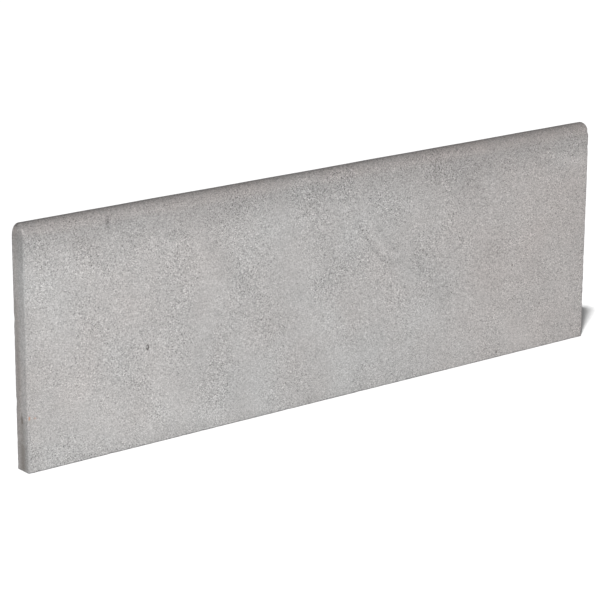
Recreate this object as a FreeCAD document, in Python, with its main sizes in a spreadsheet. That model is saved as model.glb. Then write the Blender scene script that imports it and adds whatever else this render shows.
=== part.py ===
import FreeCAD, Part
import math
import os
import Sketcher

# One straight piece of sawn stone edging, modelled standing on its foot.
# Millimetres. Origin at the centre of the foot, +X along the piece, +Z up to the rounded head.
# The front face looks along -Y and the back face along +Y.

DOCUMENT_NAME = "GardenEdging"
NODE_NAME = "edging_stone"
PARTS_FOLDER = "parts"

ALONG = FreeCAD.Vector(1, 0, 0)
DOWN = FreeCAD.Vector(0, 0, -1)

# Driving dimensions: alias, value in millimetres, what it is
DRIVING_SIZES = [
    ("stone_length", 900, "from one butt end to the other"),
    ("stone_height", 300, "from the foot to the crown of the head"),
    ("stone_thickness", 25, "from the front face to the back face"),
    ("end_arris", 3, "radius rubbed on each butt end's arris, up both faces and over the head"),
    ("foot_arris", 1, "radius left on the arris all round the foot"),
]


def make_sheet(doc):
    """The table of driving dimensions, which every feature below is bound to."""
    sheet = doc.addObject("Spreadsheet::Sheet", "Sizes")
    for row, (alias, value, meaning) in enumerate(DRIVING_SIZES, start=1):
        sheet.set(f"A{row}", alias)
        sheet.set(f"B{row}", str(value))
        sheet.set(f"C{row}", meaning)
        sheet.setAlias(f"B{row}", alias)
    doc.recompute()
    return sheet


def origin_plane(body, role):
    """The body's own origin plane with this role."""
    for feature in body.Origin.OriginFeatures:
        if feature.Role == role:
            return feature
    raise RuntimeError(f"{body.Label} has no {role}")


def draw_section(body, sheet):
    """The section across the piece: a flat foot, two upright faces and a full half-round head.

    Across the sketch is the thickness, and up the sketch is the height. The head's arc is
    tangent to both faces, so its radius follows the thickness.
    """
    half = sheet.stone_thickness / 2
    spring = sheet.stone_height - half
    sketch = body.newObject("Sketcher::SketchObject", "section")
    sketch.AttachmentSupport = (origin_plane(body, "YZ_Plane"), [""])
    sketch.MapMode = "FlatFace"

    foot_front = FreeCAD.Vector(-half, 0, 0)
    foot_back = FreeCAD.Vector(half, 0, 0)
    spring_front = FreeCAD.Vector(-half, spring, 0)
    spring_back = FreeCAD.Vector(half, spring, 0)
    head_circle = Part.Circle(FreeCAD.Vector(0, spring, 0), FreeCAD.Vector(0, 0, 1), half)

    foot = sketch.addGeometry(Part.LineSegment(foot_front, foot_back), False)
    back = sketch.addGeometry(Part.LineSegment(foot_back, spring_back), False)
    head = sketch.addGeometry(Part.ArcOfCircle(head_circle, 0, math.pi), False)
    front = sketch.addGeometry(Part.LineSegment(spring_front, foot_front), False)

    start, end, centre = 1, 2, 3
    origin_point = (-1, 1)
    vertical_axis = -2
    relations = [
        ("Coincident", foot, end, back, start),
        ("Tangent", back, end, head, start),
        ("Tangent", head, end, front, start),
        ("Coincident", front, end, foot, start),
        ("Horizontal", foot),
        ("Vertical", back),
        ("Symmetric", foot, start, foot, end, *origin_point),
        ("PointOnObject", head, centre, vertical_axis),
    ]
    for relation in relations:
        sketch.addConstraint(Sketcher.Constraint(*relation))

    width = sketch.addConstraint(
        Sketcher.Constraint("DistanceX", foot, start, foot, end, 2 * half)
    )
    rise = sketch.addConstraint(
        Sketcher.Constraint("DistanceY", *origin_point, head, centre, spring)
    )
    sketch.renameConstraint(width, "thickness")
    sketch.renameConstraint(rise, "spring_height")
    sketch.setExpression("Constraints.thickness", "Sizes.stone_thickness")
    sketch.setExpression(
        "Constraints.spring_height", "Sizes.stone_height - Sizes.stone_thickness / 2"
    )
    body.Document.recompute()
    return sketch


def edge_names(shape, wanted):
    """The names that the shape's edges have in its own order, for the wanted ones only."""
    return [
        f"Edge{number}"
        for number, edge in enumerate(shape.Edges, start=1)
        if any(edge.isSame(other) for other in wanted)
    ]


def without(edges, unwanted):
    """These edges, less those that are among the unwanted ones."""
    return [edge for edge in edges if not any(edge.isSame(other) for other in unwanted)]


def furthest_face(shape, direction):
    """Name and face of the one whose middle lies furthest along this direction."""
    number, face = max(
        enumerate(shape.Faces, start=1), key=lambda item: item[1].CenterOfMass.dot(direction)
    )
    return f"Face{number}", face


def ease(body, name, base, elements, radius_alias):
    """A fillet on these edges, or on every edge of these faces, with its radius in the sheet."""
    fillet = body.newObject("PartDesign::Fillet", name)
    fillet.Base = (base, elements)
    fillet.setExpression("Radius", f"Sizes.{radius_alias}")
    body.Document.recompute()
    return fillet


def make_edging_stone(doc, sheet):
    """The piece itself: sawn to its section, cut to length, then its arrises eased."""
    body = doc.addObject("PartDesign::Body", "EdgingStone")
    body.Label = NODE_NAME
    section = draw_section(body, sheet)

    # The section runs the whole length, half of it to each side of the origin
    stock = body.newObject("PartDesign::Pad", "sawn_stock")
    stock.Profile = section
    stock.SideType = "Symmetric"
    stock.setExpression("Length", "Sizes.stone_length")
    doc.recompute()

    # Each butt end's arris runs up the front face, over the head and down the back face
    _, foot = furthest_face(stock.Shape, DOWN)
    outline = []
    for direction in (ALONG, -ALONG):
        _, end = furthest_face(stock.Shape, direction)
        outline += without(end.Edges, foot.Edges)
    outline_names = edge_names(stock.Shape, outline)
    eased_ends = ease(body, "eased_ends", stock, outline_names, "end_arris")

    # The foot's arris runs round all four sides of the foot
    foot_name, _ = furthest_face(eased_ends.Shape, DOWN)
    eased_foot = ease(body, "eased_foot", eased_ends, [foot_name], "foot_arris")

    body.Tip = eased_foot
    doc.recompute()
    return body


def check_document(doc, bodies):
    """Stops if any feature failed or any piece isn't one valid solid."""
    for item in doc.Objects:
        if "Invalid" in item.State or "Error" in item.State:
            raise RuntimeError(f"{item.Label} failed: {item.State}")
    for body in bodies:
        shape = body.Shape
        if shape.isNull() or not shape.isValid() or len(shape.Solids) != 1:
            raise RuntimeError(f"{body.Label} isn't one valid solid")


def main():
    doc = FreeCAD.newDocument(DOCUMENT_NAME)
    sheet = make_sheet(doc)
    bodies = [make_edging_stone(doc, sheet)]
    check_document(doc, bodies)
    os.makedirs(PARTS_FOLDER, exist_ok=True)
    for body in bodies:
        body.Shape.exportStep(os.path.join(PARTS_FOLDER, f"{body.Label}.step"))
        box = body.Shape.optimalBoundingBox(False, False)
        print(
            f"{body.Label}: {box.XLength:.2f} x {box.YLength:.2f} x {box.ZLength:.2f} mm,"
            f" {body.Shape.Volume / 1e6:.4f} litres, {len(body.Shape.Faces)} faces"
        )


main()
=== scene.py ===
"""Looks of one straight piece of sawn stone edging, standing on its foot.

Metres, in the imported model's frame: origin at the centre of the foot, +X along the piece,
+Z up to the half-round head, the front face along -Y.
"""

import math
from collections import namedtuple

import bmesh
import bpy
from mathutils import Matrix, Vector, noise


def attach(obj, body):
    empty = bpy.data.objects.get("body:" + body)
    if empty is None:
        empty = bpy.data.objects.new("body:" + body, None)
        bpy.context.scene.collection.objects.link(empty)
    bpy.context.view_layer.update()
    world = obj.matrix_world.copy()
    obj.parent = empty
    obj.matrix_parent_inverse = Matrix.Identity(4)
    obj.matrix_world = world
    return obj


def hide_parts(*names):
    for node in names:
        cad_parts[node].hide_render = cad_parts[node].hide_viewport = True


MM = 0.001

# The stone's own sizes
LENGTH = 900 * MM
HEIGHT = 300 * MM
THICKNESS = 25 * MM
HALF_LENGTH = LENGTH / 2
HALF_THICKNESS = THICKNESS / 2
SPRING_HEIGHT = HEIGHT - HALF_THICKNESS
END_ARRIS = 2 * MM
FOOT_ARRIS = 1 * MM

# The head's end arrises are rubbed rounder than the upright ones, out to this far from the corner
RUBBED_REACH = 4.6 * MM
RUBBED_DEPTH = (RUBBED_REACH - END_ARRIS) * (math.sqrt(2) - 1)

# How finely the mesh is cut
HEAD_SEGMENTS = 14
ARRIS_SEGMENTS = 3
FOOT_SEGMENTS = 2
COURSE_HEIGHT = 4 * MM
LONG_BAYS = 15
CUTS_PER_BAY = 19
END_CUTS = (-5 * MM, -2 * MM, 2 * MM, 5 * MM)
END_RINGS = (2.7 * MM, 3.6 * MM, RUBBED_REACH)
PIT_CUTS = 3
PIT_CUT_REACH = 2.6
SMOOTH_ANGLE = 60
TINY = 0.01 * MM

# Shares from which a face counts as an end's by its normal, and a face, edge or place as a side's
SQUARE = 0.99
MOSTLY = 0.9

# Wear. A pair is where a weight starts to change and where it ends: heights and distances from
# an end in metres, and distances from the middle of the thickness as a share of half of it.
LEVEL_FOOT = (2 * MM, 12 * MM)
ARRIS_ACROSS = (0.55, 0.95)
ARRIS_ALONG = (1.5 * MM, 6 * MM)
FOOT_ARRIS_ACROSS = (0.8, 0.98)
FOOT_ARRIS_UP = (0.5 * MM, 4 * MM)
RUBBED_UP = (SPRING_HEIGHT - 6 * MM, SPRING_HEIGHT + 7 * MM)
PIT_EDGE = (0.3, 1.3)

# Wear that follows a cloud pattern: how deep it goes, and the pattern's size, detail and levels
Wear = namedtuple("Wear", "name depth size detail low high")
UNEVEN = Wear("uneven", 0.35 * MM, 0.09, 1, 0.2, 0.8)
CHIPS = Wear("chips", 1.3 * MM, 0.011, 3, 0.56, 0.82)
NIBBLES = Wear("nibbles", 0.35 * MM, 0.005, 2, 0.5, 0.85)

# Pits in the two faces, in millimetres: along is from the left end and up is from the foot
Pit = namedtuple("Pit", "along up width height depth")
FRONT_PITS = [
    Pit(171, 122.5, 4.2, 7.6, 1.4),
    Pit(72.5, 155, 2.2, 2.4, 0.8),
    Pit(504, 213.5, 2.4, 2.4, 0.8),
    Pit(606, 171, 2.4, 2.8, 0.9),
    Pit(642, 116, 2.2, 2.2, 0.7),
    Pit(765, 124, 2.6, 2.6, 0.9),
    Pit(817, 62, 2.6, 2.4, 0.9),
    Pit(825, 217, 2.2, 2.6, 0.8),
    Pit(858, 251, 2.4, 2.2, 0.8),
    Pit(740, 7.7, 2.2, 5.0, 0.9),
]
BACK_PITS = [
    Pit(96, 212, 2.6, 3.2, 0.9),
    Pit(233, 64, 2.4, 2.4, 0.8),
    Pit(388, 178, 3.0, 4.6, 1.2),
    Pit(561, 236, 2.2, 2.4, 0.8),
    Pit(702, 92, 2.6, 2.8, 0.9),
    Pit(846, 148, 2.2, 2.6, 0.8),
]
DEEPEST_PIT = max(pit.depth for pit in FRONT_PITS)

# Where the front face is smooth and where its grain is coarse, as strokes across the face. Each
# goes from one point to another, along and up in millimetres, and reaches this far to each side.
Stroke = namedtuple("Stroke", "start end reach strength")
SMOOTH_STROKES = [
    Stroke((388, 190), (408, 95), 34, 1.0),
    Stroke((410, 92), (468, 14), 38, 1.0),
    Stroke((362, 300), (384, 215), 26, 0.6),
    Stroke((160, 281), (250, 280), 20, 1.0),
    Stroke((84, 281), (108, 279), 16, 0.9),
    Stroke((236, 285), (268, 215), 20, 0.8),
    Stroke((268, 215), (250, 105), 24, 0.7),
    Stroke((248, 100), (212, 22), 28, 0.8),
    Stroke((328, 78), (322, 14), 32, 1.0),
    Stroke((50, 66), (116, 22), 30, 1.0),
    Stroke((8, 125), (28, 40), 26, 0.6),
    Stroke((712, 110), (712, 78), 18, 0.8),
    Stroke((768, 38), (788, 14), 28, 0.9),
    Stroke((848, 40), (866, 14), 22, 0.6),
    Stroke((700, 288), (785, 284), 18, 0.7),
    Stroke((604, 84), (610, 60), 16, 0.7),
    Stroke((500, 112), (560, 84), 22, 0.4),
    Stroke((774, 214), (764, 186), 18, 0.5),
]
COARSE_STROKES = [
    Stroke((22, 264), (26, 205), 24, 0.6),
    Stroke((68, 246), (112, 226), 24, 0.6),
    Stroke((78, 192), (128, 108), 28, 0.6),
    Stroke((130, 106), (170, 72), 26, 0.7),
    Stroke((168, 72), (180, 34), 24, 0.8),
    Stroke((190, 246), (222, 186), 28, 0.6),
    Stroke((220, 184), (214, 112), 28, 0.7),
    Stroke((300, 244), (314, 186), 30, 0.7),
    Stroke((316, 182), (350, 112), 32, 0.8),
    Stroke((284, 92), (272, 36), 26, 0.7),
    Stroke((398, 288), (440, 228), 32, 0.7),
    Stroke((462, 292), (480, 250), 28, 1.0),
    Stroke((536, 248), (560, 228), 32, 1.0),
    Stroke((446, 150), (504, 168), 30, 1.0),
    Stroke((502, 216), (506, 206), 22, 0.9),
    Stroke((540, 168), (566, 100), 30, 0.7),
    Stroke((606, 180), (606, 104), 28, 0.9),
    Stroke((616, 286), (640, 264), 26, 0.8),
    Stroke((648, 258), (656, 196), 26, 0.8),
    Stroke((660, 194), (684, 156), 26, 0.6),
    Stroke((736, 150), (784, 162), 18, 0.6),
]

# Pale and dark drifts in the stone's tone
PALE_STROKES = [
    Stroke((30, 215), (60, 110), 52, 0.9),
    Stroke((60, 100), (110, 50), 46, 1.0),
    Stroke((40, 270), (68, 235), 18, 0.9),
    Stroke((68, 235), (100, 212), 14, 0.8),
    Stroke((100, 212), (140, 222), 12, 0.7),
    Stroke((170, 205), (168, 170), 14, 0.8),
    Stroke((122, 190), (155, 160), 14, 0.7),
    Stroke((190, 70), (222, 34), 30, 1.0),
    Stroke((160, 24), (222, 38), 20, 1.0),
    Stroke((222, 38), (275, 16), 18, 0.9),
    Stroke((190, 150), (194, 90), 10, 0.5),
    Stroke((243, 262), (256, 200), 16, 0.6),
    Stroke((256, 200), (300, 156), 18, 0.8),
    Stroke((280, 166), (250, 128), 16, 0.7),
    Stroke((315, 110), (330, 30), 26, 0.6),
    Stroke((395, 200), (440, 140), 24, 0.7),
    Stroke((415, 130), (425, 100), 30, 1.0),
    Stroke((450, 110), (475, 30), 28, 0.8),
    Stroke((340, 275), (410, 238), 12, 0.5),
    Stroke((590, 95), (620, 80), 26, 0.8),
    Stroke((590, 240), (600, 210), 20, 0.5),
    Stroke((660, 90), (740, 60), 30, 0.5),
    Stroke((735, 60), (790, 20), 18, 0.9),
]
DARK_STROKES = [
    Stroke((78, 258), (112, 232), 18, 0.9),
    Stroke((132, 285), (145, 262), 14, 0.8),
    Stroke((272, 232), (312, 172), 24, 1.0),
    Stroke((330, 142), (356, 118), 30, 0.8),
    Stroke((385, 118), (395, 108), 22, 0.5),
    Stroke((270, 84), (290, 60), 34, 0.6),
    Stroke((425, 280), (450, 180), 26, 0.8),
    Stroke((440, 160), (500, 172), 24, 0.8),
    Stroke((530, 250), (552, 228), 26, 1.0),
    Stroke((560, 176), (600, 150), 22, 0.9),
    Stroke((595, 165), (645, 108), 30, 1.0),
    Stroke((655, 270), (700, 225), 40, 0.8),
    Stroke((725, 145), (760, 138), 26, 0.7),
    Stroke((725, 108), (745, 80), 16, 0.6),
    Stroke((800, 130), (835, 60), 30, 0.5),
    Stroke((840, 24), (890, 16), 36, 1.0),
    Stroke((720, 12), (742, 4), 22, 0.9),
    Stroke((498, 22), (505, 6), 20, 1.0),
    Stroke((412, 18), (424, 6), 18, 0.8),
    Stroke((470, 82), (475, 66), 12, 0.7),
    Stroke((0, 22), (26, 16), 16, 1.0),
    Stroke((60, 10), (84, 4), 14, 0.8),
    Stroke((200, 5), (250, 4), 10, 0.6),
    Stroke((325, 5), (350, 3), 12, 0.6),
    Stroke((870, 200), (893, 100), 24, 0.5),
]

# How far and how finely noise bends the drifts, and how far they move along from front to back
DRIFT_BEND = 9 * MM
DRIFT_BEND_SIZE = 32 * MM
DRIFT_SLANT = 2.4

# Where the noise is read for the bend along and the bend up, so that the two don't run alike
BEND_ALONG_AT = Vector((3.7, 8.1, 1.9))
BEND_UP_AT = Vector((11.3, 2.6, 7.4))


def to_frame(along, up):
    """Metres in the model's frame for millimetres along from the left end and up from the foot."""
    return along * MM - HALF_LENGTH, up * MM


# Modelling helpers


def deselect_all():
    """Leaves nothing selected, the CAD nodes included."""
    bpy.ops.object.select_all(action="DESELECT")


def pick(piece, kind, wanted):
    """In edit mode, selects only the VERT, EDGE or FACE items that pass the test."""
    bpy.ops.mesh.select_mode(type=kind)
    bpy.ops.mesh.select_all(action="DESELECT")
    shape = bmesh.from_edit_mesh(piece.data)
    items = {"VERT": shape.verts, "EDGE": shape.edges, "FACE": shape.faces}[kind]
    for item in items:
        item.select_set(bool(wanted(item)))
    shape.select_flush_mode()
    bmesh.update_edit_mesh(piece.data)


def along_x(edge):
    """True for an edge that runs along the piece."""
    run = edge.verts[1].co - edge.verts[0].co
    return abs(run.x) > MOSTLY * run.length


def at_end(edge):
    """True for an edge whose corners both lie on the same butt end."""
    reach = abs(sum(v.co.x for v in edge.verts)) / len(edge.verts)
    return reach > HALF_LENGTH - TINY


def at_foot(edge):
    """True for an edge whose corners both lie on the floor."""
    return all(v.co.z < TINY for v in edge.verts)


def saw_section():
    """The section as a flat plate at the left end: a rectangle whose top corners are rounded
    until the two curves meet in a half round."""
    bpy.ops.mesh.primitive_plane_add(
        size=1, location=(-HALF_LENGTH, 0, HEIGHT / 2), rotation=(0, math.radians(-90), 0)
    )
    stone = bpy.context.object
    stone.name = "edging_stone_dressed"
    stone.scale = (HEIGHT, THICKNESS, 1)
    bpy.ops.object.transform_apply(location=True, rotation=True, scale=True)

    bpy.ops.object.mode_set(mode="EDIT")
    pick(stone, "VERT", lambda v: v.co.z > SPRING_HEIGHT)
    bpy.ops.mesh.bevel(
        offset=HALF_THICKNESS, segments=HEAD_SEGMENTS, affect="VERTICES", clamp_overlap=False
    )
    bpy.ops.mesh.select_all(action="SELECT")
    bpy.ops.mesh.remove_doubles(threshold=TINY)
    return stone


def cut_to_length(stone):
    """Draws the section out to the full length and eases the arrises of the ends and foot."""
    bpy.ops.mesh.select_mode(type="FACE")
    bpy.ops.mesh.select_all(action="SELECT")
    bpy.ops.mesh.extrude_region_move(TRANSFORM_OT_translate={"value": (LENGTH, 0, 0)})
    bpy.ops.mesh.select_all(action="SELECT")
    bpy.ops.mesh.normals_make_consistent(inside=False)

    pick(stone, "EDGE", lambda e: at_end(e) and not at_foot(e))
    bpy.ops.mesh.bevel(
        offset=END_ARRIS, segments=ARRIS_SEGMENTS, affect="EDGES", clamp_overlap=False
    )
    pick(stone, "EDGE", at_foot)
    bpy.ops.mesh.bevel(
        offset=FOOT_ARRIS, segments=FOOT_SEGMENTS, affect="EDGES", clamp_overlap=False
    )


def ring_ends(stone):
    """Lays edge loops round each end, on the end itself and on the faces beside it."""
    for side in (-1, 1):
        pick(stone, "FACE", lambda f: f.normal.x * side > SQUARE)
        laid = END_ARRIS
        for ring in END_RINGS:
            bpy.ops.mesh.inset(thickness=ring - laid, depth=0)
            laid = ring
    for side in (-1, 1):
        for ring in END_RINGS:
            bpy.ops.mesh.select_all(action="SELECT")
            reach = side * (HALF_LENGTH - ring)
            bpy.ops.mesh.bisect(plane_co=(reach, 0, 0), plane_no=(1, 0, 0))


def lay_grid(stone):
    """Cuts the faces into small even cells, so that wear and pits can be shaped in them."""
    courses = int(SPRING_HEIGHT / COURSE_HEIGHT)
    for course in range(1, courses + 1):
        bpy.ops.mesh.select_all(action="SELECT")
        level = SPRING_HEIGHT * course / courses
        bpy.ops.mesh.bisect(plane_co=(0, 0, level), plane_no=(0, 0, 1))
    for across in END_CUTS:
        pick(stone, "FACE", lambda f: abs(f.normal.x) > SQUARE)
        bpy.ops.mesh.bisect(plane_co=(0, across, 0), plane_no=(0, 1, 0))
    pick(stone, "EDGE", lambda e: along_x(e) and e.calc_length() > 0.5 * LENGTH)
    bpy.ops.mesh.subdivide(number_cuts=LONG_BAYS - 1)
    bay = LENGTH / LONG_BAYS
    pick(stone, "EDGE", lambda e: along_x(e) and e.calc_length() > 0.5 * bay)
    bpy.ops.mesh.subdivide(number_cuts=CUTS_PER_BAY)


def pit_reach(co, pit):
    """How far a point is from a pit's middle, as a share of the pit's own half width."""
    along, up = to_frame(pit.along, pit.up)
    across = (co.x - along) / (pit.width / 2 * MM)
    rise = (co.z - up) / (pit.height / 2 * MM)
    return math.hypot(across, rise)


def refine_at_pits(stone):
    """Cuts smaller cells round each pit, on the face that the pit is in."""
    for side, pits in ((-1, FRONT_PITS), (1, BACK_PITS)):
        for pit in pits:

            def round_pit(face):
                near = pit_reach(face.calc_center_median(), pit) < PIT_CUT_REACH
                return near and face.normal.y * side > MOSTLY

            pick(stone, "FACE", round_pit)
            bpy.ops.mesh.subdivide(number_cuts=PIT_CUTS)


# Wear, each kind painted as a weight and then pushed inwards


def smooth_step(value, start, end):
    """0 before start, 1 past end, and an eased slope between them."""
    share = min(1, max(0, (value - start) / (end - start)))
    return share * share * (3 - 2 * share)


def side_weight(co):
    """Nothing at the foot, which stays flat on the floor, and all of it a little above."""
    return smooth_step(co.z, *LEVEL_FOOT)


def arris_weight(co):
    """Strong on the arrises of the ends and the foot, and gone a few millimetres from them."""
    from_end = HALF_LENGTH - abs(co.x)
    off_middle = math.hypot(co.y, max(0, co.z - SPRING_HEIGHT)) / HALF_THICKNESS
    end = smooth_step(off_middle, *ARRIS_ACROSS) * (1 - smooth_step(from_end, *ARRIS_ALONG))
    foot_side = smooth_step(abs(co.y) / HALF_THICKNESS, *FOOT_ARRIS_ACROSS)
    return max(end, foot_side * (1 - smooth_step(co.z, *FOOT_ARRIS_UP)))


def rubbed_weight(co):
    """Full on the arris where the head meets an end, and gone at the rubbed reach from it."""
    on_head = smooth_step(co.z, *RUBBED_UP)
    from_end = HALF_LENGTH - abs(co.x)
    from_side = HALF_THICKNESS - math.hypot(co.y, max(0, co.z - SPRING_HEIGHT))
    beyond = (max(from_end, from_side) - END_ARRIS) / (RUBBED_REACH - END_ARRIS)
    return on_head * (1 - min(1, max(0, beyond))) ** 2


def pit_weight(co):
    """How deep a pit goes at this point, as a share of the deepest one."""
    if abs(co.y) < MOSTLY * HALF_THICKNESS:
        return 0
    pits = FRONT_PITS if co.y < 0 else BACK_PITS
    return max(
        pit.depth / DEEPEST_PIT * (1 - smooth_step(pit_reach(co, pit), *PIT_EDGE)) for pit in pits
    )


def paint(stone, name, weight):
    """A vertex group that holds this weight at each vertex."""
    group = stone.vertex_groups.new(name=name)
    for vertex in stone.data.vertices:
        amount = weight(vertex.co)
        if amount > 0:
            group.add([vertex.index], amount, "REPLACE")
    return group


def press_in(stone, name, weight, depth, texture=None):
    """Pushes the painted surface inwards, to this depth where the weight and texture are full."""
    group = paint(stone, name, weight)
    push = stone.modifiers.new(name, "DISPLACE")
    push.vertex_group = group.name
    push.mid_level = 0
    push.strength = -depth
    if texture is not None:
        push.texture = texture
        push.texture_coords = "LOCAL"
    bpy.ops.object.modifier_apply(modifier=name)


def cloud_texture(wear):
    """This wear's cloud pattern, black below its low level and white above its high one."""
    texture = bpy.data.textures.new(wear.name, "CLOUDS")
    texture.noise_scale = wear.size
    texture.noise_depth = wear.detail
    texture.use_color_ramp = True
    texture.color_ramp.elements[0].position = wear.low
    texture.color_ramp.elements[0].color = (0, 0, 0, 1)
    texture.color_ramp.elements[1].position = wear.high
    texture.color_ramp.elements[1].color = (1, 1, 1, 1)
    return texture


def store_hollow(stone):
    """Keeps the pits' weight on the mesh, for the painted shade that the material puts in them."""
    values = [pit_weight(vertex.co) for vertex in stone.data.vertices]
    hollow = stone.data.attributes.new("hollow", "FLOAT", "POINT")
    hollow.data.foreach_set("value", values)


def drift_place(co):
    """Where a point stands among the drifts, along and up in millimetres. They run through the
    stone at a slant, so the back shows them moved along, and soft noise bends them."""
    place = co / DRIFT_BEND_SIZE
    bend_along = noise.noise(place + BEND_ALONG_AT) * DRIFT_BEND
    bend_up = noise.noise(place + BEND_UP_AT) * DRIFT_BEND
    slant = (co.y + HALF_THICKNESS) * DRIFT_SLANT
    return (co.x + HALF_LENGTH - slant + bend_along) / MM, (co.z + bend_up) / MM


def drift_weight(place, strokes):
    """How strongly the nearest of these strokes shows at a place."""
    strongest = 0
    for stroke in strokes:
        run = stroke.end[0] - stroke.start[0], stroke.end[1] - stroke.start[1]
        off = place[0] - stroke.start[0], place[1] - stroke.start[1]
        share = (off[0] * run[0] + off[1] * run[1]) / (run[0] ** 2 + run[1] ** 2)
        share = min(1, max(0, share))
        gap = math.hypot(off[0] - share * run[0], off[1] - share * run[1])
        if gap < stroke.reach:
            weight = stroke.strength * smooth_step(stroke.reach - gap, 0, stroke.reach)
            strongest = max(strongest, weight)
    return strongest


def store_drifts(stone):
    """Keeps the drifts on the mesh for the material: how coarse the grain is, and how pale."""
    places = [drift_place(vertex.co) for vertex in stone.data.vertices]
    for name, more, less in (
        ("coarse", COARSE_STROKES, SMOOTH_STROKES),
        ("pale", PALE_STROKES, DARK_STROKES),
    ):
        values = [drift_weight(place, more) - drift_weight(place, less) for place in places]
        layer = stone.data.attributes.new(name, "FLOAT", "POINT")
        layer.data.foreach_set("value", values)


def wear_stone(stone):
    """The rubbed head, the slight unevenness of sawn faces, chipped arrises, and the pits."""
    store_hollow(stone)
    store_drifts(stone)
    press_in(stone, "rubbed", rubbed_weight, RUBBED_DEPTH)
    for wear, weight in ((UNEVEN, side_weight), (CHIPS, arris_weight), (NIBBLES, arris_weight)):
        press_in(stone, wear.name, weight, wear.depth, cloud_texture(wear))
    press_in(stone, "pits", pit_weight, DEEPEST_PIT * MM)


def make_stone():
    """The whole piece, from the drawn section to the worn surface."""
    deselect_all()
    stone = saw_section()
    cut_to_length(stone)
    ring_ends(stone)
    lay_grid(stone)
    refine_at_pits(stone)
    bpy.ops.object.mode_set(mode="OBJECT")
    wear_stone(stone)
    bpy.ops.object.shade_smooth_by_angle(angle=math.radians(SMOOTH_ANGLE))
    return stone


# Material helpers


class Nodes:
    """Adds nodes to one tree. A value given for a socket is linked if it is a socket."""

    def __init__(self, tree):
        self.tree = tree

    def add(self, kind, **settings):
        node = self.tree.nodes.new(kind)
        for name, value in settings.items():
            setattr(node, name, value)
        return node

    def feed(self, socket, value):
        if isinstance(value, bpy.types.NodeSocket):
            self.tree.links.new(value, socket)
        else:
            socket.default_value = value

    def maths(self, operation, *values, clamp=False):
        node = self.add("ShaderNodeMath", operation=operation, use_clamp=clamp)
        for socket, value in zip(node.inputs, values):
            self.feed(socket, value)
        return node.outputs["Value"]

    def vector(self, operation, *values, out="Vector"):
        node = self.add("ShaderNodeVectorMath", operation=operation)
        for socket, value in zip(node.inputs, values):
            self.feed(socket, value)
        return node.outputs[out]

    def scale(self, vector, factor):
        node = self.add("ShaderNodeVectorMath", operation="SCALE")
        self.feed(node.inputs["Vector"], vector)
        self.feed(node.inputs["Scale"], factor)
        return node.outputs["Vector"]

    def split(self, vector):
        node = self.add("ShaderNodeSeparateXYZ")
        self.feed(node.inputs["Vector"], vector)
        return node.outputs["X"], node.outputs["Y"], node.outputs["Z"]

    def join(self, x, y, z):
        node = self.add("ShaderNodeCombineXYZ")
        for socket, value in zip(node.inputs, (x, y, z)):
            self.feed(socket, value)
        return node.outputs["Vector"]

    def add_shares(self, total, *parts, clamp=False):
        """The total and each part's value times its share. Clamped, it ends between 0 and 1."""
        for count, (value, share) in enumerate(parts, start=1):
            last = count == len(parts)
            total = self.maths("MULTIPLY_ADD", value, share, total, clamp=clamp and last)
        return total

    def both_ways(self, value):
        """A value from 0 to 1 as one from -1 to 1."""
        return self.maths("MULTIPLY_ADD", value, 2.0, -1.0)

    def ramp(self, value, start, end, low=0.0, high=1.0):
        """An eased change from low to high as the value goes from start to end."""
        node = self.add("ShaderNodeMapRange", interpolation_type="SMOOTHSTEP")
        for name, amount in (
            ("Value", value),
            ("From Min", start),
            ("From Max", end),
            ("To Min", low),
            ("To Max", high),
        ):
            self.feed(node.inputs[name], amount)
        return node.outputs["Result"]

    def noise(self, place, size, detail=2.0, roughness=0.5):
        """Soft noise with blobs of about this size: its Fac and Color go round a middle of 0.5."""
        node = self.add("ShaderNodeTexNoise")
        self.feed(node.inputs["Vector"], place)
        node.inputs["Scale"].default_value = 1 / size
        node.inputs["Detail"].default_value = detail
        node.inputs["Roughness"].default_value = roughness
        return node

    def cells(self, place, size):
        """Random cells of about this size."""
        node = self.add("ShaderNodeTexVoronoi")
        self.feed(node.inputs["Vector"], place)
        self.feed(node.inputs["Scale"], 1 / size)
        return node

    def mix(self, factor, a, b):
        """Colour a, turning into colour b as the factor goes from 0 to 1."""
        node = self.add("ShaderNodeMix", data_type="RGBA")
        self.feed(node.inputs["Factor"], factor)
        self.feed(node.inputs[6], a)
        self.feed(node.inputs[7], b)
        return node.outputs[2]

    def group(self, tree, **values):
        node = self.add("ShaderNodeGroup", node_tree=tree)
        for name, value in values.items():
            self.feed(node.inputs[name], value)
        return node


def new_group(name, inputs, outputs):
    """An empty shader node group with these sockets, its nodes, and its input and output nodes."""
    tree = bpy.data.node_groups.new(name, "ShaderNodeTree")
    for label, kind, default in inputs:
        socket = tree.interface.new_socket(name=label, in_out="INPUT", socket_type=kind)
        socket.default_value = default
    for label, kind in outputs:
        tree.interface.new_socket(name=label, in_out="OUTPUT", socket_type=kind)
    nodes = Nodes(tree)
    return tree, nodes, nodes.add("NodeGroupInput"), nodes.add("NodeGroupOutput")


FLOAT = "NodeSocketFloat"
VECTOR = "NodeSocketVector"

# Sizes of the stone's grain, in millimetres
FINE_GRAIN = 0.8
SPECK = 1.5
PORE = 4.6
GRIT = 0.4
MOTTLE = 1.7

# How far and how finely noise bends the grains
GRAIN_BEND = 1.1
GRAIN_BEND_SIZE = 0.9

# How strongly each kind shows in the tone, where the stone is smooth and where it is coarse
FINE_GAIN = (0.45, 0.85)
SPECK_GAIN = (0.22, 0.75)
GRIT_GAIN = (0.30, 0.40)
MOTTLE_GAIN = (0.50, 0.76)
PORE_GAIN = (0.15, 0.85)

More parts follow.
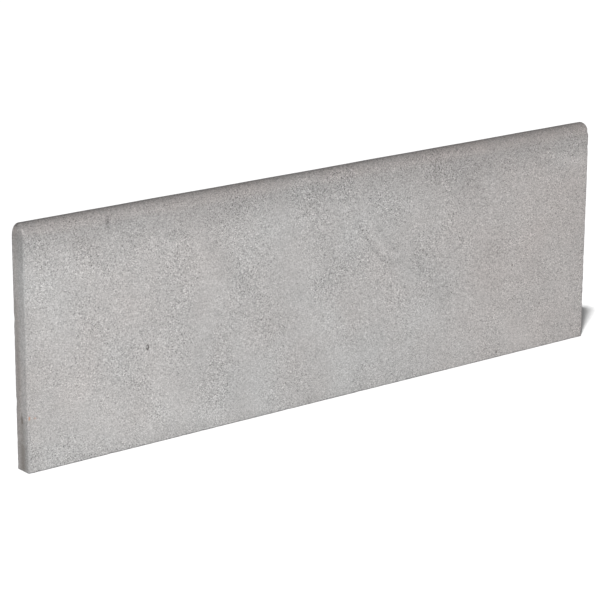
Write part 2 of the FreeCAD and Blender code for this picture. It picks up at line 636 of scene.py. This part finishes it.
# Ramps in the grain, each with its start and end, and what it goes from and to if not 0 and 1.
# A fine grain fades from its middle to its edge. Specks and pores are dots in the middle of
# their cells: a reach is how much chance adds to a dot's radius, and the least that it is.
FINE_FADE = (0.75, 0.25, 0.1, 1.4)
SPECK_REACH = (0.25, 0.32)
SPECK_CORE = 0.10
DARK_SPECKS = (0.24, 0.02)
BRIGHT_SPECKS = (0.80, 0.98)
PORE_REACH = (0.12, 0.19)
PORE_CORE = 0.07
PORE_CHANCE = (0.34, 0.24)
PORE_COARSENESS = (0.1, 1.0)

# How far fine grains and specks stand out, beside the grit
FINE_HEIGHT = 0.3
SPECK_HEIGHT = 0.8

# Slow changes over the stone: smooth to coarse, dark to light and cool to warm. Sizes are in
# millimetres, and each is read so far aside that they don't run alike.
Cloud = namedtuple("Cloud", "name size detail aside")
CLOUDS = [
    Cloud("Texture", 34.0, 3.0, (0.0, 0.0, 0.0)),
    Cloud("Light", 60.0, 3.0, (310.0, 90.0, 0.0)),
    Cloud("Warmth", 90.0, 2.0, (-240.0, 410.0, 70.0)),
]

# How coarse the grain is: at the middle of the clouds, and what clouds, drifts and ends add
BASE_COARSENESS = 0.42
CLOUD_COARSENESS = 0.45
DRIFT_COARSENESS = 0.5
BUTT_COARSENESS = -0.8

# Thin pale veins, the dark lines beside them and single small marks, as strokes of the same kind
VEIN_STROKES = [
    Stroke((460, 262), (484, 222), 8, 0.4),
    Stroke((484, 222), (498, 202), 7, 0.6),
    Stroke((498, 202), (514, 180), 7, 0.5),
    Stroke((514, 225), (518, 208), 6, 0.8),
    Stroke((518, 208), (528, 194), 5, 1.0),
    Stroke((528, 194), (543, 182), 5, 1.0),
    Stroke((543, 182), (562, 171), 5, 0.9),
    Stroke((810, 271), (850, 259), 7, 0.8),
    Stroke((850, 259), (895, 246), 9, 1.0),
]
VEIN_SHADOWS = [
    Stroke((494, 222), (506, 207), 5, 0.8),
    Stroke((506, 207), (532, 174), 5, 0.9),
    Stroke((532, 174), (545, 164), 6, 0.9),
    Stroke((545, 164), (572, 163), 7, 0.6),
    Stroke((530, 212), (537, 201), 6, 0.9),
    Stroke((537, 201), (555, 182), 6, 0.8),
]
HAIRLINE = Stroke((624, 289), (624, 263), 1.0, 1.0)
SMUDGE = Stroke((115.9, 288.0), (116.3, 280.0), 6.5, 0.85)
BRIGHT_CHIP = Stroke((1.6, 294), (1.6, 289), 1.5, 1.0)
RUST_FLECKS = [
    Stroke((2.7, 68.8), (2.6, 66.8), 2.1, 0.95),
    Stroke((9.6, 66.8), (11.2, 66.4), 1.9, 0.5),
]

# Dark stains and pale places on the left end: back from the front face, and up
END_STAINS = [
    Stroke((21, 205), (18, 160), 7, 0.30),
    Stroke((18, 160), (17, 100), 7, 0.40),
    Stroke((19, 100), (22, 10), 7, 0.30),
    Stroke((12.2, 71), (12.1, 66), 2.6, 0.7),
    Stroke((12.1, 65), (12.3, 60), 5.0, 1.0),
    Stroke((12.3, 60), (12.3, 30), 10, 0.50),
    Stroke((12.3, 30), (11.8, 6), 12, 0.75),
    Stroke((15.9, 151), (16.1, 148), 2.5, 0.5),
]
END_PALE = [
    Stroke((4, 240), (4, 120), 6, 1.0),
    Stroke((6, 110), (5, 66), 6, 1.0),
]

# The size of the noise that bends the thin lines and the end's stains, and how far it bends them
LINE_WAVER = (14.0, 3.5)
END_WAVER = (9.0, 3.0)

# Ramps over the stone, in millimetres: a start and an end, and what they go from and to if not
# 0 and 1. The names say which way they go: along and across from the middle, up from the foot.
# The band under the head starts at a height that changes along the piece.
FRONT_ACROSS = (-6.0, -9.0)
BUTT_ALONG = ((HALF_LENGTH - 2 * MM) / MM, (HALF_LENGTH - 0.4 * MM) / MM)
HEAD_BAND_ALONG = (60.0, 230.0, 236.0, 218.0)
HEAD_BAND_ALONG_RIGHT = (230.0, 340.0, 0.0, 22.0)
HEAD_BAND_TOP = 290.0
HEAD_BAND_WAVER = 14.0
HEAD_BAND_FADE_UP = (283.0, 299.0, 1.0, 0.15)
FOOT_BAND_UP = (12.0, 0.0, 0.0, 0.07)
FOOT_LINE_UP = (1.8, 0.4, 0.0, 0.45)
# The painted shade along the crown: a dark stripe across the top that fades out over the back
CROWN_SHADE_ACROSS_FRONT = (-4.0, 1.0)
CROWN_SHADE_ACROSS_BACK = (11.5, 3.5)
CROWN_SHADE_UP = (290.5, 296.5)
END_BAND_ALONG = (438.0, 449.0)
END_LINE_ALONG = (446.5, 449.0)
END_LINE_ACROSS = (8.5, 11.0)
FAR_END_ALONG = (-1.0, 1.0)
FAR_END_DROP = 34.0

# The end arrises on one diagonal are darker, where along times across is below this
DARKER_DIAGONAL = (500.0, -500.0)

# Brightness: the stone's own, and what each kind of mark or band adds to it
BASE_TONE = 1.018
CLOUD_TONE = 0.06
DRIFT_TONE = 0.062
VEIN_TONE = 0.12
HEAD_BAND_TONE = -0.20
# How much darker the painted shade makes the crown's stripe
CROWN_SHADE_TONE = -0.34
END_BAND_TONE = -0.04
END_LINE_TONE = -0.22
CHIP_TONE = 0.45
SMUDGE_TONE = -0.32
END_PALE_TONE = 0.05

# Warmth: the stone's own, what each place adds to it, and the ramps of those places
BASE_WARMTH = 0.31
CLOUD_WARMTH = 0.5
RIGHT_WARMTH = 0.36
RIGHT_ALONG = (120.0, 440.0)
FOOT_WARMTH = -0.2
FOOT_COOL_UP = (120.0, 20.0)
FOOT_COOL_ALONG = (280.0, 60.0)
CROWN_WARMTH = 0.4
CROWN_WARM_UP = (278.0, 292.0)
BUTT_WARMTH_ACROSS = (-4.0, 4.0, -0.1, 0.42)

# Painted shade in the pits, by their depth as a share of the deepest, and along the hairline
# crack.
# The deepest pits are painted lighter in their middle, above this height.
PIT_SHADE_DEPTH = (0.05, 0.45)
LIGHTER_MIDDLE_DEPTH = (0.72, 1.0)
LIGHTER_MIDDLE_UP = (118.0, 122.0)
LIGHTER_MIDDLE_SHARE = -0.8
PIT_SHADE_SHARE = 0.8
HAIRLINE_SHADE = 0.6

# How matt the stone is, from its dark grains to its bright ones, and how much its grain stands out
ROUGHNESS = (-0.4, 0.4, 0.92, 0.78)
SPECULAR = 0.3
BUMP_STRENGTH = 0.5
BUMP_DISTANCE = 0.25 * MM

# Colours as the stone shows them in plain light, linear, and the painted shade of its pits
COOL_STONE = (0.4665, 0.4620, 0.4580, 1)
WARM_STONE = (0.4790, 0.4440, 0.4300, 1)
PIT_SHADE = (0.070, 0.062, 0.055, 1)
END_STAIN = (0.215, 0.195, 0.175, 1)
RUST = (0.520, 0.290, 0.190, 1)


def stroke_group():
    """A soft mask round one straight stroke: 1 on it and 0 past its reach."""
    tree, nodes, given, made = new_group(
        "stone_stroke",
        [
            ("Place", VECTOR, (0, 0, 0)),
            ("Start", VECTOR, (0, 0, 0)),
            ("End", VECTOR, (1, 0, 0)),
            ("Reach", FLOAT, 10.0),
            ("Strength", FLOAT, 1.0),
        ],
        [("Mask", FLOAT)],
    )
    start = given.outputs["Start"]
    to_place = nodes.vector("SUBTRACT", given.outputs["Place"], start)
    to_end = nodes.vector("SUBTRACT", given.outputs["End"], start)
    along = nodes.vector("DOT_PRODUCT", to_place, to_end, out="Value")
    whole = nodes.vector("DOT_PRODUCT", to_end, to_end, out="Value")
    share = nodes.maths("DIVIDE", along, whole, clamp=True)
    nearest = nodes.scale(to_end, share)
    off = nodes.vector("DISTANCE", to_place, nearest, out="Value")
    mask = nodes.ramp(off, given.outputs["Reach"], 0.0)
    nodes.feed(made.inputs["Mask"], nodes.maths("MULTIPLY", mask, given.outputs["Strength"]))
    return tree


def dots(nodes, place, size, reach, core):
    """Dots in the middle of random cells, and each cell's own chance value."""
    cells = nodes.cells(place, size)
    chance, larger, _ = nodes.split(cells.outputs["Color"])
    edge = nodes.maths("MULTIPLY_ADD", larger, *reach)
    return nodes.ramp(cells.outputs["Distance"], edge, core), chance


def grain_group():
    """The stone's grain: a tone round 0 that is darker or lighter from grain to grain, with
    dark and bright specks in it, and the height of the same grains. Noise bends the places,
    so that no grain has a straight side, and each one fades out towards its edge."""
    tree, nodes, given, made = new_group(
        "mineral_grain",
        [("Place", VECTOR, (0, 0, 0)), ("Coarseness", FLOAT, 0.5)],
        [("Tone", FLOAT), ("Height", FLOAT)],
    )
    coarse = given.outputs["Coarseness"]
    straight = given.outputs["Place"]
    bend = nodes.noise(straight, GRAIN_BEND_SIZE, detail=2.0, roughness=0.7)
    bend = nodes.vector("SUBTRACT", bend.outputs["Color"], (0.5, 0.5, 0.5))
    place = nodes.vector("ADD", straight, nodes.scale(bend, GRAIN_BEND))

    # Squared with its sign kept, so that few grains differ much from the others
    fine = nodes.cells(place, FINE_GRAIN)
    fine_tone, fine_other, _ = nodes.split(fine.outputs["Color"])
    fine_swing = nodes.both_ways(fine_tone)
    fine_swing = nodes.maths("MULTIPLY", fine_swing, nodes.maths("ABSOLUTE", fine_swing))
    fine_fade = nodes.ramp(fine.outputs["Distance"], *FINE_FADE)
    fine_swing = nodes.maths("MULTIPLY", fine_swing, fine_fade)

    speck_dots, speck_chance = dots(nodes, place, SPECK, SPECK_REACH, SPECK_CORE)
    dark = nodes.ramp(speck_chance, *DARK_SPECKS)
    bright = nodes.ramp(speck_chance, *BRIGHT_SPECKS)
    speck_swing = nodes.maths("MULTIPLY", nodes.maths("SUBTRACT", bright, dark), speck_dots)

    pore_dots, pore_chance = dots(nodes, place, PORE, PORE_REACH, PORE_CORE)
    pores = nodes.maths("MULTIPLY", pore_dots, nodes.ramp(pore_chance, *PORE_CHANCE))
    pore_gain = nodes.ramp(coarse, *PORE_COARSENESS, *PORE_GAIN)
    pores = nodes.maths("MULTIPLY", pores, pore_gain)

    grit = nodes.noise(straight, GRIT, detail=3.0, roughness=0.7)
    grit_swing = nodes.both_ways(grit.outputs["Fac"])
    mottle = nodes.noise(straight, MOTTLE, detail=2.0, roughness=0.6)
    mottle_swing = nodes.both_ways(mottle.outputs["Fac"])

    tone = nodes.maths("MULTIPLY", fine_swing, nodes.ramp(coarse, 0.0, 1.0, *FINE_GAIN))
    tone = nodes.add_shares(
        tone,
        (speck_swing, nodes.ramp(coarse, 0.0, 1.0, *SPECK_GAIN)),
        (grit_swing, nodes.ramp(coarse, 0.0, 1.0, *GRIT_GAIN)),
        (mottle_swing, nodes.ramp(coarse, 0.0, 1.0, *MOTTLE_GAIN)),
    )
    nodes.feed(made.inputs["Tone"], nodes.maths("SUBTRACT", tone, pores))

    fine_height = nodes.maths("MULTIPLY", fine_fade, FINE_HEIGHT)
    rise = nodes.add_shares(grit_swing, (fine_other, fine_height), (speck_swing, SPECK_HEIGHT))
    nodes.feed(made.inputs["Height"], nodes.maths("SUBTRACT", rise, pores))
    return tree


def cloud_group():
    """The slow changes over the stone, each round 0."""
    tree, nodes, given, made = new_group(
        "stone_clouds",
        [("Place", VECTOR, (0, 0, 0))],
        [(cloud.name, FLOAT) for cloud in CLOUDS],
    )
    for cloud in CLOUDS:
        place = nodes.vector("ADD", given.outputs["Place"], cloud.aside)
        soft = nodes.noise(place, cloud.size, detail=cloud.detail)
        nodes.feed(made.inputs[cloud.name], nodes.both_ways(soft.outputs["Fac"]))
    return tree


def face_point(point):
    """A stroke's point, along and up in millimetres, as a place on the front face."""
    along, up = point
    return along - HALF_LENGTH / MM, 0.0, up


def end_point(point):
    """A stroke's point, back from the front face and up in millimetres, as a place on an end."""
    across, up = point
    return 0.0, across - HALF_THICKNESS / MM, up


def strokes_mask(nodes, tree, place, strokes, at=face_point):
    """The strongest of these strokes at each place."""
    whole = 0.0
    for stroke in strokes:
        one = nodes.group(
            tree,
            Place=place,
            Start=at(stroke.start),
            End=at(stroke.end),
            Reach=stroke.reach,
            Strength=stroke.strength,
        )
        whole = nodes.maths("MAXIMUM", one.outputs["Mask"], whole)
    return whole


def waver(nodes, place, flat, size, reach, ways):
    """The flat place moved about by soft noise of this size, up to half the reach each way."""
    soft = nodes.noise(place, size, detail=2.0)
    off = nodes.vector("SUBTRACT", soft.outputs["Color"], (0.5, 0.5, 0.5))
    moved = nodes.vector("ADD", flat, nodes.scale(off, reach))
    return nodes.vector("MULTIPLY", moved, ways)


# What the material knows of a point: its place in millimetres, how far along it is from the
# middle, and how much it belongs to the front face and to a butt end
Point = namedtuple("Point", "place x y z from_middle front butt")

# Masks of what only the front face has
FrontMarks = namedtuple("FrontMarks", "vein hairline chip smudge rust")

# Masks of what only the butt ends have, and the place across an end that they go by
EndMarks = namedtuple("EndMarks", "stain pale across")


def read_point(nodes):
    """Where each point of the surface is."""
    place = nodes.scale(nodes.add("ShaderNodeTexCoord").outputs["Object"], 1 / MM)
    x, y, z = nodes.split(place)
    from_middle = nodes.maths("ABSOLUTE", x)
    front = nodes.ramp(y, *FRONT_ACROSS)
    butt = nodes.ramp(from_middle, *BUTT_ALONG)
    return Point(place, x, y, z, from_middle, front, butt)


def stored(nodes, name):
    """A value that the mesh keeps at its points."""
    return nodes.add("ShaderNodeAttribute", attribute_name=name).outputs["Fac"]


def front_marks(nodes, stroke, point):
    """The thin lines, which noise bends, and the single small marks, which it doesn't."""
    flat = nodes.join(point.x, 0.0, point.z)
    bent = waver(nodes, point.place, flat, *LINE_WAVER, (1.0, 0.0, 1.0))
    vein = nodes.maths(
        "SUBTRACT",
        strokes_mask(nodes, stroke, bent, VEIN_STROKES),
        strokes_mask(nodes, stroke, bent, VEIN_SHADOWS),
    )
    marks = [vein, strokes_mask(nodes, stroke, bent, [HAIRLINE])]
    for strokes in ([BRIGHT_CHIP], [SMUDGE], RUST_FLECKS):
        marks.append(strokes_mask(nodes, stroke, flat, strokes))
    return FrontMarks(*(nodes.maths("MULTIPLY", mark, point.front) for mark in marks))


def end_marks(nodes, stroke, point):
    """Run-down dirt and pale places. The far end has its own, the other way round and lower."""
    far_end = nodes.ramp(point.x, *FAR_END_ALONG)
    across = nodes.maths("MULTIPLY", point.y, nodes.ramp(far_end, 0.0, 1.0, 1.0, -1.0))
    up = nodes.maths("MULTIPLY_ADD", far_end, FAR_END_DROP, point.z)
    flat = nodes.join(0.0, across, up)
    bent = waver(nodes, point.place, flat, *END_WAVER, (0.0, 1.0, 1.0))
    stain = strokes_mask(nodes, stroke, bent, END_STAINS, end_point)
    pale = strokes_mask(nodes, stroke, bent, END_PALE, end_point)
    stain = nodes.maths("MULTIPLY", stain, point.butt)
    pale = nodes.maths("MULTIPLY", pale, point.butt)
    return EndMarks(stain, pale, across)


def dark_bands(nodes, point, texture):
    """Brightness to add, all of it below 0: under the head, along the foot, painted shade along
    the crown, at the ends, and on two of the end arrises."""
    band_start = nodes.ramp(point.x, *HEAD_BAND_ALONG)
    band_start = nodes.maths("ADD", band_start, nodes.ramp(point.x, *HEAD_BAND_ALONG_RIGHT))
    band_up = nodes.maths("MULTIPLY_ADD", texture, HEAD_BAND_WAVER, point.z)
    head_band = nodes.ramp(band_up, band_start, HEAD_BAND_TOP)
    head_fade = nodes.ramp(point.z, *HEAD_BAND_FADE_UP)

    foot_band = nodes.ramp(point.z, *FOOT_BAND_UP)
    foot_band = nodes.maths("ADD", foot_band, nodes.ramp(point.z, *FOOT_LINE_UP))

    # Painted shade: a dark stripe along the crown, fading out over the back
    crown_shade = nodes.ramp(point.y, *CROWN_SHADE_ACROSS_FRONT)
    crown_shade = nodes.maths("MULTIPLY", crown_shade, nodes.ramp(point.y, *CROWN_SHADE_ACROSS_BACK))
    crown_shade = nodes.maths("MULTIPLY", crown_shade, nodes.ramp(point.z, *CROWN_SHADE_UP))

    end_line = nodes.ramp(point.from_middle, *END_LINE_ALONG)
    off_middle = nodes.maths("ABSOLUTE", point.y)
    end_line = nodes.maths("MULTIPLY", end_line, nodes.ramp(off_middle, *END_LINE_ACROSS))
    diagonal = nodes.maths("MULTIPLY", point.x, point.y)
    end_line = nodes.maths("MULTIPLY", end_line, nodes.ramp(diagonal, *DARKER_DIAGONAL))

    return nodes.add_shares(
        0.0,
        (nodes.maths("MULTIPLY", head_band, head_fade), HEAD_BAND_TONE),
        (foot_band, -1.0),
        (crown_shade, CROWN_SHADE_TONE),
        (nodes.ramp(point.from_middle, *END_BAND_ALONG), END_BAND_TONE),
        (end_line, END_LINE_TONE),
    )


def stone_warmth(nodes, point, cloud, across):
    """From 0, cool, to 1, warm: warmer to the right and along the crown, cooler along the foot,
    and warmer towards one side of each end."""
    foot_cool = nodes.ramp(point.z, *FOOT_COOL_UP)
    foot_cool = nodes.maths("MULTIPLY", foot_cool, nodes.ramp(point.x, *FOOT_COOL_ALONG))
    return nodes.add_shares(
        BASE_WARMTH,
        (cloud, CLOUD_WARMTH),
        (nodes.ramp(point.x, *RIGHT_ALONG), RIGHT_WARMTH),
        (foot_cool, FOOT_WARMTH),
        (nodes.ramp(point.z, *CROWN_WARM_UP), CROWN_WARMTH),
        (point.butt, nodes.ramp(across, *BUTT_WARMTH_ACROSS)),
        clamp=True,
    )


def pit_shade_mask(nodes, point, hairline):
    """Painted shade in the pits and along the hairline crack."""
    hollow = stored(nodes, "hollow")
    lighter_middle = nodes.ramp(hollow, *LIGHTER_MIDDLE_DEPTH)
    lighter_middle = nodes.maths("MULTIPLY", lighter_middle, nodes.ramp(point.z, *LIGHTER_MIDDLE_UP))
    painted_shade = nodes.ramp(hollow, *PIT_SHADE_DEPTH)
    painted_shade = nodes.add_shares(painted_shade, (lighter_middle, LIGHTER_MIDDLE_SHARE), clamp=True)
    painted_shade = nodes.maths("MULTIPLY", painted_shade, PIT_SHADE_SHARE)
    return nodes.maths("MAXIMUM", painted_shade, nodes.maths("MULTIPLY", hairline, HAIRLINE_SHADE))


def stone_material():
    """Fine-grained grey stone: sawn faces with smooth and coarse drifts, smoother sawn ends."""
    material = bpy.data.materials.new("sawn_grey_stone")
    material.use_nodes = True
    nodes = Nodes(material.node_tree)
    nodes.tree.nodes.clear()

    point = read_point(nodes)
    stroke = stroke_group()
    on_front = front_marks(nodes, stroke, point)
    on_end = end_marks(nodes, stroke, point)
    clouds = nodes.group(cloud_group(), Place=point.place)

    coarseness = nodes.add_shares(
        BASE_COARSENESS,
        (clouds.outputs["Texture"], CLOUD_COARSENESS),
        (stored(nodes, "coarse"), DRIFT_COARSENESS),
        (point.butt, BUTT_COARSENESS),
        clamp=True,
    )
    grain = nodes.group(grain_group(), Place=point.place, Coarseness=coarseness)

    tone = nodes.add_shares(
        BASE_TONE,
        (clouds.outputs["Light"], CLOUD_TONE),
        (stored(nodes, "pale"), DRIFT_TONE),
        (on_front.vein, VEIN_TONE),
        (dark_bands(nodes, point, clouds.outputs["Texture"]), 1.0),
        (on_front.chip, CHIP_TONE),
        (on_front.smudge, SMUDGE_TONE),
        (on_end.pale, END_PALE_TONE),
        (grain.outputs["Tone"], 1.0),
    )
    warmth = stone_warmth(nodes, point, clouds.outputs["Warmth"], on_end.across)
    colour = nodes.scale(nodes.mix(warmth, COOL_STONE, WARM_STONE), tone)
    colour = nodes.mix(on_end.stain, colour, END_STAIN)
    colour = nodes.mix(on_front.rust, colour, RUST)
    # Painted shade in the pits and along the hairline crack
    colour = nodes.mix(pit_shade_mask(nodes, point, on_front.hairline), colour, PIT_SHADE)

    shader = nodes.add("ShaderNodeBsdfPrincipled")
    shader.inputs["Specular IOR Level"].default_value = SPECULAR
    nodes.feed(shader.inputs["Base Color"], colour)
    nodes.feed(shader.inputs["Roughness"], nodes.ramp(grain.outputs["Tone"], *ROUGHNESS))
    bump = nodes.add("ShaderNodeBump")
    bump.inputs["Strength"].default_value = BUMP_STRENGTH
    bump.inputs["Distance"].default_value = BUMP_DISTANCE
    nodes.feed(bump.inputs["Height"], grain.outputs["Height"])
    nodes.feed(shader.inputs["Normal"], bump.outputs["Normal"])
    out = nodes.add("ShaderNodeOutputMaterial")
    nodes.feed(out.inputs["Surface"], shader.outputs["BSDF"])
    return material


# Room, lamps and camera

FLOOR_REACH = 14.0
FLOOR_GREY = (0.42, 0.42, 0.42, 1)
FLOOR_SEEN = (0.56, 0.56, 0.56, 1)
SKY_STRENGTH = 0.336

# A low softbox in front, a little to the left, for the stone
KEY_PLACE = (-1.0, -2.2, 0.12)
KEY_SIZE = (1.8, 0.5)
KEY_POWER = 36.0
KEY_AIM = (0.0, 0.0, 0.15)

# Another like it behind, for the stone's back alone, which the photo doesn't show
BACK_PLACE = (1.2, 2.2, 0.12)
BACK_POWER = 50.0

# A broad overhead light for the floor alone, whose bounce fills the stone from below
FLOOR_LIGHT_AZIMUTH = 51.0
FLOOR_LIGHT_HEIGHT = 65.0
FLOOR_LIGHT_SPREAD = 4.0
FLOOR_LIGHT_STRENGTH = 5.5

# The photo's own viewpoint, fitted to the stone's edges in the 600 x 600 picture
CAMERA_PLACE = (-1.9233, -2.3669, 1.0175)
CAMERA_TURN = 38.55
CAMERA_DIP = 16.25
CAMERA_ROLL = 0.27
CAMERA_LENS = 150.95
SENSOR_WIDTH = 36.0


def add_floor():
    """A plain pale floor. The camera sees it lifted to white where nothing shades it."""
    bpy.ops.mesh.primitive_plane_add(size=FLOOR_REACH)
    floor = bpy.context.object
    floor.name = "floor"
    material = bpy.data.materials.new("pale_floor")
    material.use_nodes = True
    nodes = Nodes(material.node_tree)
    nodes.tree.nodes.clear()
    seen = nodes.add("ShaderNodeLightPath").outputs["Is Camera Ray"]
    diffuse = nodes.add("ShaderNodeBsdfDiffuse")
    nodes.feed(diffuse.inputs["Color"], nodes.mix(seen, FLOOR_GREY, FLOOR_SEEN))
    out = nodes.add("ShaderNodeOutputMaterial")
    nodes.feed(out.inputs["Surface"], diffuse.outputs["BSDF"])
    floor.data.materials.append(material)
    return floor


def add_sky():
    """Even soft light from all round. The camera and reflections see it as white."""
    world = bpy.data.worlds.new("studio")
    world.use_nodes = True
    nodes = Nodes(world.node_tree)
    nodes.tree.nodes.clear()
    path = nodes.add("ShaderNodeLightPath")
    seen = nodes.maths("MAXIMUM", path.outputs["Is Camera Ray"], path.outputs["Is Glossy Ray"])
    seen = nodes.maths("MAXIMUM", seen, path.outputs["Is Transmission Ray"])
    light = nodes.add("ShaderNodeBackground")
    light.inputs["Color"].default_value = (1, 1, 1, 1)
    nodes.feed(light.inputs["Strength"], nodes.ramp(seen, 0.0, 1.0, SKY_STRENGTH, 1.0))
    out = nodes.add("ShaderNodeOutputWorld")
    nodes.feed(out.inputs["Surface"], light.outputs["Background"])
    bpy.context.scene.world = world


def add_softbox(name, place, aim, size, power):
    """A soft rectangular lamp that points at the aim."""
    lamp = bpy.data.lights.new(name, "AREA")
    lamp.shape = "RECTANGLE"
    lamp.size, lamp.size_y = size
    lamp.energy = power
    box = bpy.data.objects.new(name, lamp)
    box.location = place
    towards = Vector(aim) - Vector(place)
    box.rotation_euler = towards.to_track_quat("-Z", "Y").to_euler()
    bpy.context.scene.collection.objects.link(box)
    return box


def light_only(lamp, thing):
    """Lets this lamp light this one thing alone."""
    takes_light = bpy.data.collections.new(lamp.name + "_on")
    takes_light.objects.link(thing)
    lamp.light_linking.receiver_collection = takes_light


def light_floor(floor):
    """The overhead light. Only the floor takes it up, and the stone throws its shadow there."""
    lamp = bpy.data.lights.new("floor_light", "SUN")
    lamp.energy = FLOOR_LIGHT_STRENGTH
    lamp.angle = math.radians(FLOOR_LIGHT_SPREAD)
    light = bpy.data.objects.new("floor_light", lamp)
    around = math.radians(FLOOR_LIGHT_AZIMUTH)
    above = math.radians(FLOOR_LIGHT_HEIGHT)
    source = Vector(
        (-math.sin(around) * math.cos(above), -math.cos(around) * math.cos(above), math.sin(above))
    )
    light.rotation_euler = source.to_track_quat("Z", "Y").to_euler()
    bpy.context.scene.collection.objects.link(light)
    light_only(light, floor)


def add_camera():
    """The camera at the photo's viewing angle."""
    lens = bpy.data.cameras.new("photo_view")
    lens.lens = CAMERA_LENS
    lens.sensor_width = SENSOR_WIDTH
    lens.clip_end = 50
    camera = bpy.data.objects.new("photo_view", lens)
    turn = Matrix.Rotation(math.radians(-CAMERA_TURN), 4, "Z")
    dip = Matrix.Rotation(math.radians(90 - CAMERA_DIP), 4, "X")
    roll = Matrix.Rotation(math.radians(CAMERA_ROLL), 4, "Z")
    camera.matrix_world = Matrix.Translation(CAMERA_PLACE) @ turn @ dip @ roll
    bpy.context.scene.collection.objects.link(camera)
    bpy.context.scene.camera = camera


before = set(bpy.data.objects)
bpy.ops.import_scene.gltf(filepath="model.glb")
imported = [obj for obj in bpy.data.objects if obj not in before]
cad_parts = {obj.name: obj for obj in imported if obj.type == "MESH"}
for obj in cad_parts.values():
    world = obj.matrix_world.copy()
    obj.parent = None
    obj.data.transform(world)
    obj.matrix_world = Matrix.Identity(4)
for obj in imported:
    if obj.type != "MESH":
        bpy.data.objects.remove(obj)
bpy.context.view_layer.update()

stone = make_stone()
stone.data.materials.append(stone_material())
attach(stone, "root")
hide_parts("edging_stone")

add_sky()
light_floor(add_floor())
add_softbox("key", KEY_PLACE, KEY_AIM, KEY_SIZE, KEY_POWER)
light_only(add_softbox("back_fill", BACK_PLACE, KEY_AIM, KEY_SIZE, BACK_POWER), stone)
add_camera()
bpy.context.scene.view_settings.view_transform = "Standard"
